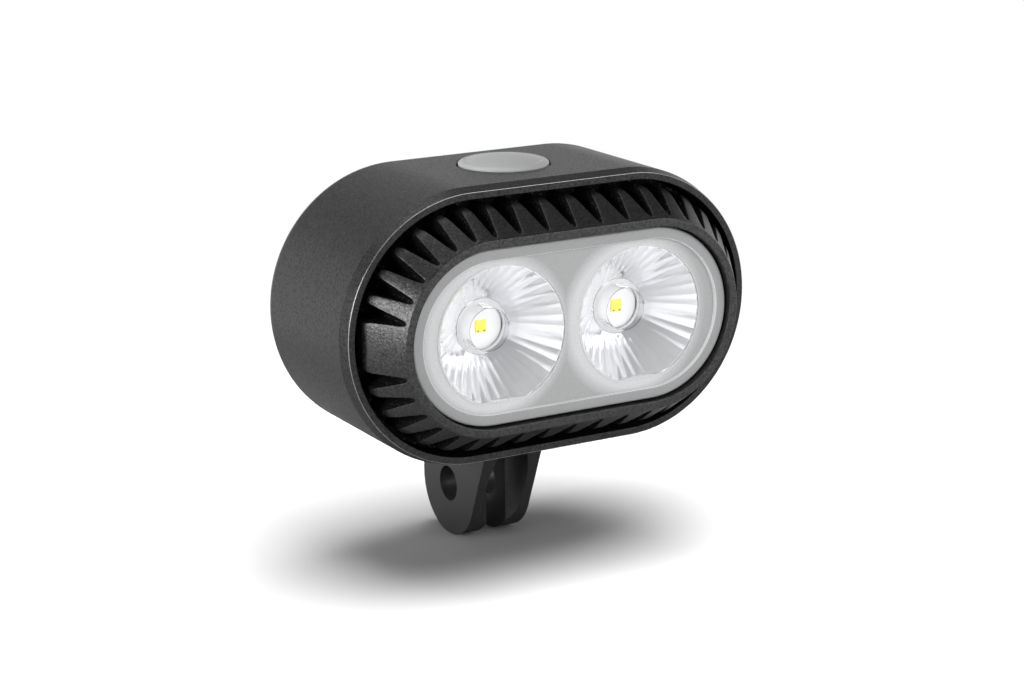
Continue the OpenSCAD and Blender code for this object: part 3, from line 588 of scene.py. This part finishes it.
def cut_button_hole(piece):
    """Cuts the button's hole, with a chamfered edge, through the top of the case."""
    bm = bmesh.new()
    inside = OPENING_R - HOLE_SPARE
    outside = CASE_R + HOLE_SPARE
    mouth_r = HOLE_R + HOLE_EDGE
    section = [
        (0, inside), (HOLE_R, inside), (HOLE_R, CASE_R - HOLE_EDGE), (mouth_r, CASE_R), (mouth_r, outside),
        (0, outside),
    ]
    revolve(bm, section, (0, BUTTON_Y, 0), (0, 0, 1))
    clean(bm)
    bmesh.ops.transform(bm, matrix=TO_PART, verts=bm.verts)
    cutter = new_object("hole_cutter", bm)
    cut = piece.modifiers.new("button_hole", "BOOLEAN")
    cut.object = cutter
    cut.solver = "EXACT"
    piece.modifiers.move(1, 0)
    bpy.context.view_layer.update()
    shaped = piece.evaluated_get(bpy.context.evaluated_depsgraph_get())
    piece.data = bpy.data.meshes.new_from_object(shaped)
    piece.modifiers.clear()
    bpy.data.objects.remove(cutter)


def build_case():
    """Oblong shell with a bevelled rim, a rounded back and the button's hole."""
    bm = bmesh.new()
    ledge_front = LEDGE_Y - LEDGE_T
    section = [
        (OPENING_R, 0), (RIM_R, 0), (CASE_R, RIM_BEVEL), (CASE_R, CASE_BACK), (REBATE_R, CASE_BACK),
        (REBATE_R, LEDGE_Y), (LEDGE_R, LEDGE_Y), (LEDGE_R, ledge_front), (OPENING_R, ledge_front),
    ]
    radii = [RIM_EDGE, RIM_EDGE, BEVEL_ROUND, BACK_ROUND, REBATE_ROUND, REBATE_ROUND, 0, 0, 0]
    sweep(bm, rounded(section, radii, CASE_ROUND_STEPS))
    finish = [FINISH["case_charcoal"], RIM_WEAR_AND_HIGHLIGHT, SLOT_PAINTED_SHADE]
    for face in bm.faces:
        face.material_index = finish.index(case_finish(face))
    piece = add_piece("case_shell", bm, finish, "lamp", ["case"])
    cut_button_hole(piece)


def fin_slots():
    """Foot x, angle and half tip width of each slot, counter-clockwise from the right end's bottom."""
    quarter = [ARC_START - ARC_STEP * i for i in range(ARC_SLOTS)]
    turn = [-a for a in quarter] + quarter[::-1]
    pitch = 2 * END_X / RUN_FINS
    run = [END_X - pitch * i for i in range(1, RUN_FINS)]
    arc_half = (TIP_R * math.radians(ARC_STEP) - FIN_TIP_W) / 2
    run_half = (pitch - FIN_TIP_W) / 2
    ring = [(END_X, a, arc_half) for a in turn]
    ring += [(x, 90, run_half) for x in run]
    ring += [(-END_X, a + 180, arc_half) for a in turn]
    ring += [(-x, 270, run_half) for x in run]
    return ring


def in_plan(slot, along, across):
    """A point of the front view given along and across a slot."""
    foot, angle, _ = slot
    c, s = math.cos(math.radians(angle)), math.sin(math.radians(angle))
    return foot + along * c - across * s, along * s + across * c


def flank_slant(slot):
    """Angle between a slot's flank and its middle line."""
    reach = TIP_R - SLOT_ROOT
    return math.atan2(slot[2], reach) - math.asin(SLOT_R / math.hypot(reach, slot[2]))


def root_point(slot, side, inset, share):
    """A point on the round end of a slot, widened by inset, from its middle (0) to the flank (1)."""
    angle = math.pi - share * (math.pi / 2 - flank_slant(slot))
    r = SLOT_R + inset
    return in_plan(slot, SLOT_ROOT + r * math.cos(angle), side * r * math.sin(angle))


def flank_point(slot, side, inset, r):
    """The point on a slot's flank, moved by inset into the fin, at radius r."""
    slant = flank_slant(slot)
    start = (SLOT_ROOT - (SLOT_R + inset) * math.sin(slant), (SLOT_R + inset) * math.cos(slant))
    low, high = 0.0, 2 * (TIP_R - SLOT_ROOT)
    for _ in range(HALVINGS):
        middle = (low + high) / 2
        along = start[0] + middle * math.cos(slant)
        across = start[1] + middle * math.sin(slant)
        point = in_plan(slot, along, side * across)
        if oblong_at(*point)[3] < r:
            low = middle
        else:
            high = middle
    return point


def round_over(depth, radius):
    """How far a rounded edge has dropped at a distance from its end."""
    return 0.0 if depth >= radius else radius - math.sqrt(radius ** 2 - (radius - depth) ** 2)


def slope_y(r):
    """Station of the fins' sloping faces."""
    return BEZEL_Y + (r - BEZEL_R) * (TIP_Y - BEZEL_Y) / (TIP_R - BEZEL_R)


BEZEL_ROWS = rounded(
    [(POCKET_R, SEAT_Y), (POCKET_R, BEZEL_Y), (BEZEL_R, BEZEL_Y), (SLOPE_FROM, slope_y(SLOPE_FROM))],
    [0, BEZEL_EDGE, BEZEL_EDGE, 0], BEZEL_ROUND_STEPS)


def bezel_rows(bm, first, last, shares):
    """Rows of points over the bezel between two slots."""
    ends = [oblong_at(*in_plan(slot, BEZEL_R, 0)) for slot in (first, last)]
    feet = [Vector((e[0] + BEZEL_R * e[1], BEZEL_R * e[2])) for e in ends]
    rows = []
    for r, y in BEZEL_ROWS:
        row = []
        for share in shares:
            foot, dx, dz, _ = oblong_at(*feet[0].lerp(feet[1], share))
            row.append(bm.verts.new((foot + r * dx, y, r * dz)))
        rows.append(row)
    return rows


def fin_border(slot, side, inset, kind, value):
    """A point where a fin meets a slot: at a share of its round end, or on its flank at a radius."""
    if kind == "root":
        return Vector(root_point(slot, side, inset, value))
    corner = round_over(TIP_R - value, TIP_CORNER)
    return Vector(flank_point(slot, side, inset + corner, value))


def edge_point(bm, point, inset, drop):
    """A point on a fin's rounded edge, inset from its slot."""
    y = slope_y(oblong_at(*point)[3]) + drop + round_over(inset, FIN_EDGE[-1])
    return bm.verts.new((point.x, y, point.y))


def fin_row(bm, first, last, cut, shares, bow, tip_round):
    """One row of points over a fin, from slot to slot: round the oblong at bow 1, straight at bow 0."""
    kind, value = cut
    drop = round_over(TIP_R - value, tip_round) if kind == "flank" else 0.0
    left = [fin_border(first, 1, inset, kind, value) for inset in FIN_EDGE]
    right = [fin_border(last, -1, inset, kind, value) for inset in FIN_EDGE]
    r_left, r_right = (oblong_at(*line[-1])[3] for line in (left, right))
    row = [edge_point(bm, p, inset, drop) for inset, p in zip(FIN_EDGE[:-1], left)]
    for share in shares:
        foot, dx, dz, r = oblong_at(*left[-1].lerp(right[-1], share))
        r += bow * (r_left + (r_right - r_left) * share - r)
        row.append(bm.verts.new((foot + r * dx, slope_y(r) + drop, r * dz)))
    for inset, p in reversed(list(zip(FIN_EDGE[:-1], right))):
        row.append(edge_point(bm, p, inset, drop))
    return row


def fin(bm, first, last):
    """The stretch of bezel and the fin between two neighbouring slots."""
    wide = abs(last[1] - first[1]) % 360 > 2 * ARC_STEP
    steps = BLOCK_STEPS if wide else FIN_STEPS
    tip_round = BLOCK_ROUND if wide else TIP_ROUND
    shares = [i / steps for i in range(steps + 1)]
    straight = TIP_R - TIP_ROUND - FLANK_FROM
    cuts = [("root", share) for share in ROOT_SHARES]
    cuts += [("flank", FLANK_FROM + straight * i / STRAIGHT_STEPS) for i in range(STRAIGHT_STEPS)]
    cuts += [("flank", TIP_R - drop) for drop in TIP_DROPS]
    rows = bezel_rows(bm, first, last, shares)
    full_rows = []
    for k, cut in enumerate(cuts):
        bow = 1 - k / (len(cuts) - 1)
        full_rows.append(fin_row(bm, first, last, cut, shares, bow, tip_round))
    margin = len(FIN_EDGE) - 1
    rows.append(full_rows[0][margin:-margin])
    for low, high in list(zip(rows, rows[1:])) + list(zip(full_rows, full_rows[1:])):
        for i in range(len(low) - 1):
            bm.faces.new((low[i], low[i + 1], high[i + 1], high[i]))
    rim = [row[0] for row in full_rows] + full_rows[-1][1:-1] + [row[-1] for row in reversed(full_rows)]
    # Walls from the fin down to the plate, in painted shade
    base = [bm.verts.new((v.co.x, PLATE_Y, v.co.z)) for v in rim]
    for i in range(len(rim) - 1):
        bm.faces.new((rim[i], rim[i + 1], base[i + 1], base[i])).material_index = DARK


def build_heat_sink():
    """Bezel ring, sloping fins, the plate they stand on and the cup behind it."""
    bm = bmesh.new()
    ring = fin_slots()
    for first, last in zip(ring, ring[1:] + ring[:1]):
        fin(bm, first, last)
    # The plate between the fins, in painted shade
    sweep(bm, [(BEZEL_R, PLATE_Y), (SINK_R, PLATE_Y)], closed=False, material=DARK)
    sweep(bm, [(SINK_R, PLATE_Y), (SINK_R, PLATE_BACK), (SPIGOT_R, PLATE_BACK), (SPIGOT_R, SINK_BACK),
               (0, SINK_BACK)], closed=False)
    sweep(bm, [(POCKET_R, SEAT_Y), (CUP_R, SEAT_Y), (CUP_R, FLOOR_Y), (0, FLOOR_Y)], closed=False)
    add_piece("heat_sink_fins", bm, SINK_FINISH, "lamp", ["heat_sink"])


def window_loop(centre_x, radius, y):
    """Points of a forward-facing circle with a flat at its bottom."""
    lowest = OPTIC_FLAT - max(0.0, radius - WINDOW_R)
    loop = []
    for k in range(2 * ARC_STEPS):
        turn = math.pi * k / ARC_STEPS
        loop.append((centre_x + radius * math.cos(turn), y, max(radius * math.sin(turn), lowest)))
    return loop


def skin(bm, loops, material=0):
    """Joins a row of closed loops of points with faces."""
    rings = [[bm.verts.new(p) for p in loop] for loop in loops]
    for low, high in zip(rings, rings[1:]):
        for k in range(len(low)):
            bm.faces.new((low[k - 1], low[k], high[k], high[k - 1])).material_index = material


def build_lens():
    """Raised frosted border, frosted plane and a clear round window over each optic."""
    bm = bmesh.new()
    finish = [FINISH["lens_clear"], WINDOW, BORDER, STEP]
    plane_r = BORDER_R - 2 * STEP_ROUND
    section = [
        (plane_r, WINDOW_Y), (BORDER_R, WINDOW_Y), (BORDER_R + STEP_LEAN, LENS_Y), (LENS_R, LENS_Y),
        (LENS_R, LENS_BACK), (plane_r, LENS_BACK),
    ]
    sweep(bm, rounded(section, [0, STEP_ROUND, STEP_ROUND, LENS_EDGE, 0, 0]), closed=False)
    ring_r = WINDOW_R + RING_W
    for y in (WINDOW_Y, LENS_BACK):
        loops = [[(foot + plane_r * dx, y, plane_r * dz) for foot, dx, dz in oblong_spine()]]
        loops += [window_loop(side * OPTIC_X, ring_r, y) for side in (-1, 1)]
        edges = []
        for loop in loops:
            verts = [bm.verts.new(p) for p in loop]
            edges += [bm.edges.new((verts[i - 1], verts[i])) for i in range(len(verts))]
        bmesh.ops.triangle_fill(bm, edges=edges, use_beauty=True)
    crest = WINDOW_Y - RING_H
    ring = [(ring_r, WINDOW_Y), (ring_r, crest), (WINDOW_R, crest), (WINDOW_R, WINDOW_Y)]
    ring = rounded(ring, [0, RING_ROUND, RING_ROUND, 0], RING_ROUND_STEPS)
    wall = [(WINDOW_R, WINDOW_Y), (WINDOW_R, WINDOW_Y + WINDOW_T), (ring_r, LENS_BACK)]
    for side in (-1, 1):
        x = side * OPTIC_X
        skin(bm, [window_loop(x, r, y) for r, y in ring])
        skin(bm, [window_loop(x, r, y) for r, y in wall])
        for r, y in wall[:2]:
            skin(bm, [window_loop(x, r, y), window_loop(x, 0, y)], finish.index(WINDOW))
    for face in bm.faces:
        middle = face.calc_center_median()
        reach = oblong_at(middle.x, middle.z)[3]
        # The raised border, and its rounded step with a painted highlight line
        if middle.y < WINDOW_Y and reach > BORDER_R:
            on_step = reach < BORDER_R + STEP_LEAN + STEP_ROUND
            face.material_index = finish.index(STEP if on_step else BORDER)
    add_piece("front_lens", bm, finish, "lamp", ["lens"])


def flank_radius(height):
    """Radius of an optic's flank at a height over its back."""
    share = height / (OPTIC_BACK - OPTIC_Y - OPTIC_FLANGE)
    return OPTIC_BACK_R + (FLANK_R - OPTIC_BACK_R) * share ** FLANK_POWER


def optic_section():
    """Half section of an optic as (radius, station), and the depth of the flutes at each of its points."""
    height = OPTIC_BACK - OPTIC_Y - OPTIC_FLANGE
    well_y = OPTIC_BACK - WELL_D
    well_r = WELL_R - WELL_DRAFT
    section = [(0, OPTIC_Y), (OPTIC_R, OPTIC_Y), (OPTIC_R, OPTIC_Y + OPTIC_FLANGE)]
    flutes = [0.0] * len(section)
    for i in range(FLANK_STEPS + 1):
        share = 1 - i / FLANK_STEPS
        section.append((flank_radius(height * share), OPTIC_BACK - height * share))
        flutes.append(FLUTE_DEPTH * share)
    section += [(OPTIC_BACK_R - OUTLINE_W, OPTIC_BACK), (WELL_R, OPTIC_BACK), (well_r, well_y + OUTLINE_W)]
    for i in range(CROWN_STEPS + 1):
        angle = math.radians(90 * i / CROWN_STEPS)
        section.append((well_r * math.cos(angle), well_y + WELL_CROWN * math.sin(angle)))
    flutes += [0.0] * (len(section) - len(flutes))
    return section, flutes


def optic_finish(face, centre_x):
    """The finish of one of an optic's faces, told by its place."""
    middle = face.calc_center_median()
    reach = math.hypot(middle.x - centre_x, middle.z)
    # Back face: the collar, and its outer edge as a painted outline
    if middle.y > OPTIC_BACK - OPTIC_FLANGE and reach > WELL_R:
        return OUTLINE if reach > OPTIC_BACK_R - OUTLINE_W else COLLAR
    if middle.y > OPTIC_Y + OPTIC_FLANGE / 4 and reach > WELL_R:
        return FLANK
    if middle.y > OPTIC_BACK - WELL_D + WELL_CROWN:
        return WELL
    # The well's edge: painted outline
    if middle.y > OPTIC_Y + OPTIC_FLANGE and reach > WELL_R - WELL_DRAFT - OUTLINE_W:
        return OUTLINE
    return FINISH["optic_clear"]


def add_pip(bm, x, z, material):
    """A small ball on the collar around an optic's well."""
    place = Matrix.Translation((x, OPTIC_BACK - PIP_R, z))
    made = bmesh.ops.create_icosphere(bm, subdivisions=2, radius=PIP_R, matrix=place)
    for face in {f for v in made["verts"] for f in v.link_faces}:
        face.material_index = material


def build_optic(side, name):
    """Solid collimator with a fluted flank, a flat at the bottom and a crowned well over the emitter."""
    bm = bmesh.new()
    finish = [FINISH["optic_clear"], FLANK, WELL, COLLAR, OUTLINE]
    centre_x = side * OPTIC_X
    section, flutes = optic_section()
    revolve(bm, section, (centre_x, 0, 0), (0, 1, 0), FLUTES * FLUTE_STEPS, flutes)
    clean(bm)
    for face in bm.faces:
        face.material_index = finish.index(optic_finish(face, centre_x))
    for k in range(PIPS):
        angle = 2 * math.pi * k / PIPS
        x = centre_x + PIP_REACH * math.cos(angle)
        add_pip(bm, x, PIP_REACH * math.sin(angle), finish.index(COLLAR))
    whole = bm.verts[:] + bm.edges[:] + bm.faces[:]
    cut = bmesh.ops.bisect_plane(bm, geom=whole, plane_co=(0, 0, OPTIC_FLAT), plane_no=(0, 0, -1),
                                 clear_outer=True)
    rim = [e for e in cut["geom_cut"] if isinstance(e, bmesh.types.BMEdge)]
    bmesh.ops.contextual_create(bm, geom=rim)
    add_piece(name + "_lens", bm, finish, "lamp", [name], OPTIC_SHARP)


def slab(bm, front_y, middle, size, material):
    """A box given by the station of its front, its middle in X and Z, and its size."""
    made = bmesh.ops.create_cube(bm, size=1)["verts"]
    bmesh.ops.scale(bm, vec=size, verts=made)
    bmesh.ops.translate(bm, vec=(middle[0], front_y + size[1] / 2, middle[1]), verts=made)
    for face in {f for v in made for f in v.link_faces}:
        face.material_index = material


def build_led(side, name):
    """Emitter: ceramic base, a wider plate on it and a raised yellow die with its contacts."""
    bm = bmesh.new()
    finish = [CERAMIC, DIE, CONTACT]
    x = side * OPTIC_X
    base_y = LED_BOARD_Y - LED_BASE
    plate_y = base_y - LED_STEP
    die_y = plate_y - DIE_T
    slab(bm, base_y, (x, 0), (LED_W, LED_BASE, LED_W), finish.index(CERAMIC))
    slab(bm, plate_y, (x, 0), (LED_PLATE, LED_STEP, LED_PLATE), finish.index(CERAMIC))
    slab(bm, die_y, (x, 0), (DIE_W, DIE_T, DIE_W), finish.index(DIE))
    for dx in (-CONTACT_X, CONTACT_X):
        middle = (x + dx, CONTACT_IN - DIE_W / 2)
        slab(bm, die_y - CONTACT_T, middle, (CONTACT_W, CONTACT_T, CONTACT_W), finish.index(CONTACT))
    add_piece(name + "_emitter", bm, finish, "lamp", [name])


def build_button():
    """Silicone cap: a low dome, a shallow groove and a rounded lip, over the flange that keeps it in."""
    bm = bmesh.new()
    section = []
    for i in range(DOME_STEPS + 1):
        share = i / DOME_STEPS
        section.append((CAP_DOME_R * share, CAP_TOP - CAP_DOME * share ** CAP_POWER))
    bend = [section[-1], CAP_GROOVE, CAP_LIP, CAP_SHOULDER, (CAP_R, CAP_EDGE), (CAP_R, CAP_FLANGE_TOP)]
    section += rounded(bend, CAP_ROUNDS)[1:]
    section += [(CAP_FLANGE_R, CAP_FLANGE_TOP), (CAP_FLANGE_R, CAP_FLANGE_BOTTOM), (0, CAP_FLANGE_BOTTOM)]
    revolve(bm, section, (0, BUTTON_Y, 0), (0, 0, 1))
    add_piece("button_dome", bm, [FINISH["silicone_grey"]], "button", ["button_cap"])


def soften(node, width):
    """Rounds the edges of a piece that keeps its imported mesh."""
    soft = frame["nodes"][node].modifiers.new("soft_edges", "BEVEL")
    soft.width = width * MM
    soft.segments = SOFT_SEGMENTS
    soft.limit_method = "ANGLE"
    soft.angle_limit = SOFT_ANGLE
    soft.harden_normals = True


build_case()
build_heat_sink()
build_lens()
for side, label in ((-1, "left"), (1, "right")):
    build_optic(side, label + "_optic")
    build_led(side, label + "_led")
build_button()

# Every node that still shows gets its slot's finish
for row in frame["record"]["subparts"]:
    mesh = frame["nodes"][row["node"]].data
    mesh.materials.clear()
    mesh.materials.append(FINISH[row["material_slot"]])
for node, width in SOFT_EDGES.items():
    soften(node, width)


# Studio

def math_step(tree, operation, first, second):
    """One operation between two values."""
    node = tree.nodes.new("ShaderNodeMath")
    node.operation = operation
    tree.links.new(first, node.inputs[0])
    tree.links.new(second, node.inputs[1])
    return node.outputs["Value"]


def seen_rays(tree):
    """1 for rays that see the background straight, mirrored or through clear plastic, else 0."""
    path = tree.nodes.new("ShaderNodeLightPath")
    seen = math_step(tree, "MAXIMUM", path.outputs["Is Camera Ray"], path.outputs["Is Glossy Ray"])
    return math_step(tree, "MAXIMUM", seen, path.outputs["Is Transmission Ray"])


def build_floor(z):
    """Round floor that keeps the lamp's shadow and fades to plain white away from it."""
    bm = bmesh.new()
    bmesh.ops.create_circle(bm, cap_ends=True, segments=TURN_STEPS, radius=FLOOR_R)
    floor = new_object("floor", bm)
    floor.location.z = z
    material, tree, shader = new_material("floor_white")
    tree.nodes.remove(shader)
    path = tree.nodes.new("ShaderNodeLightPath")
    near = tree.nodes.new("ShaderNodeBsdfDiffuse")
    tone = span(tree, path.outputs["Is Camera Ray"], FLOOR_LIT, FLOOR_SHOWN, 0.0, 1.0)
    tree.links.new(tone, near.inputs["Color"])
    far = tree.nodes.new("ShaderNodeEmission")
    place = tree.nodes.new("ShaderNodeTexCoord").outputs["Object"]
    reach = span(tree, vector_step(tree, "LENGTH", place), 0.0, 1.0, FLOOR_NEAR, FLOOR_FAR)
    share = math_step(tree, "MULTIPLY", reach, seen_rays(tree))
    mix_shaders(tree, share, near.outputs["BSDF"], far.outputs["Emission"])
    floor.data.materials.append(material)
    return floor


def build_world():
    """White behind the object, up to a little over the horizon, and grey overhead."""
    world = bpy.data.worlds.new("studio")
    bpy.context.scene.world = world
    world.use_nodes = True
    tree = world.node_tree
    place = tree.nodes.new("ShaderNodeTexCoord")
    split = tree.nodes.new("ShaderNodeSeparateXYZ")
    tree.links.new(place.outputs["Generated"], split.inputs["Vector"])
    level = span(tree, split.outputs["Z"], HORIZON, OVERHEAD, FADE_FROM, FADE_TO)
    tree.links.new(level, tree.nodes["Background"].inputs["Strength"])
    tree.nodes["Background"].inputs["Color"].default_value = (1, 1, 1, 1)


def add_softbox(name, direction, distance, width, height, radiance):
    """A rectangular lamp that looks at the object from a direction."""
    lamp = bpy.data.lights.new(name, "AREA")
    lamp.shape = "RECTANGLE"
    lamp.size = width
    lamp.size_y = height
    lamp.energy = radiance * math.pi * width * height
    box = bpy.data.objects.new(name, lamp)
    towards = Vector(direction).normalized()
    centre = (cad_box[0] + cad_box[1]) / 2
    box.location = centre + towards * distance
    box.rotation_mode = "QUATERNION"
    box.rotation_quaternion = towards.to_track_quat("Z", "Y")
    bpy.context.scene.collection.objects.link(box)
    return box


def light_only(lamp, receiver):
    """Keeps a lamp's light to one object."""
    lit = bpy.data.collections.new("lit_by_" + lamp.name)
    lit.objects.link(receiver)
    lamp.light_linking.receiver_collection = lit


def add_camera():
    """The photograph's view, solved from the rim, the lens and the optics."""
    azimuth, elevation, roll = (math.radians(a) for a in VIEW_ANGLES)
    level = math.cos(elevation)
    back = Vector((math.sin(azimuth) * level, -math.cos(azimuth) * level, math.sin(elevation)))
    right = Vector((math.cos(azimuth), math.sin(azimuth), 0))
    up = back.cross(right)
    across = right * math.cos(roll) + up * math.sin(roll)
    upright = up * math.cos(roll) - right * math.sin(roll)
    camera = bpy.data.cameras.new("camera")
    camera.sensor_width = 36
    camera.lens = VIEW_LENS
    camera.clip_start = 0.01
    camera.clip_end = 50
    view = bpy.data.objects.new("camera", camera)
    turned = Matrix((across, upright, back)).transposed().to_4x4()
    view.matrix_world = Matrix.Translation(Vector(VIEW_TARGET) + back * VIEW_DISTANCE) @ turned
    bpy.context.scene.collection.objects.link(view)
    bpy.context.scene.camera = view


floor = build_floor(cad_box[0].z)
build_world()
for name, settings in SOFTBOXES.items():
    add_softbox(name, *settings)
light_only(add_softbox("floor_softbox", *FLOOR_SOFTBOX), floor)
add_camera()
bpy.context.scene.view_settings.view_transform = "Standard"
